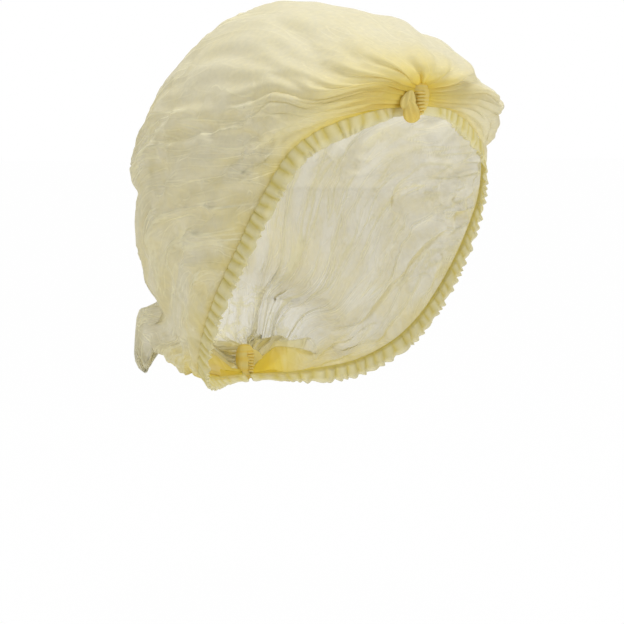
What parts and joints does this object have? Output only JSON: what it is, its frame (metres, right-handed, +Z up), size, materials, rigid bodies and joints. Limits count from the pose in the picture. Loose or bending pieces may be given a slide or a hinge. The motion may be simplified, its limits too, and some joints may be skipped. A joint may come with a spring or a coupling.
{
  "type": "disposable pleated hair cover, worn form",
  "caption": "Pleated nonwoven hair cover in its worn form, gathered and welded over the forehead and at the nape, with a ruffled elastic hem round the face opening.",
  "frame": {"origin": "the inside of the crown, where it sits on the top of the head", "axes": "+Z up, the face opening towards -Y, the wearer's left towards +X"},
  "size_m": [0.1779, 0.2082, 0.2152],
  "materials": {
    "nonwoven": "thin pale yellow spunbond nonwoven, crumpled, translucent",
    "hem": "the same cloth folded over elastic and ruffled, matte yellow",
    "gather": "stacked welded pleats, deep yellow"
  },
  "bodies": {
    "root": {"crown": "nonwoven", "hem_left": "hem", "hem_right": "hem", "front_gather": "gather", "nape_gather": "gather"}
  },
  "joints": []
}
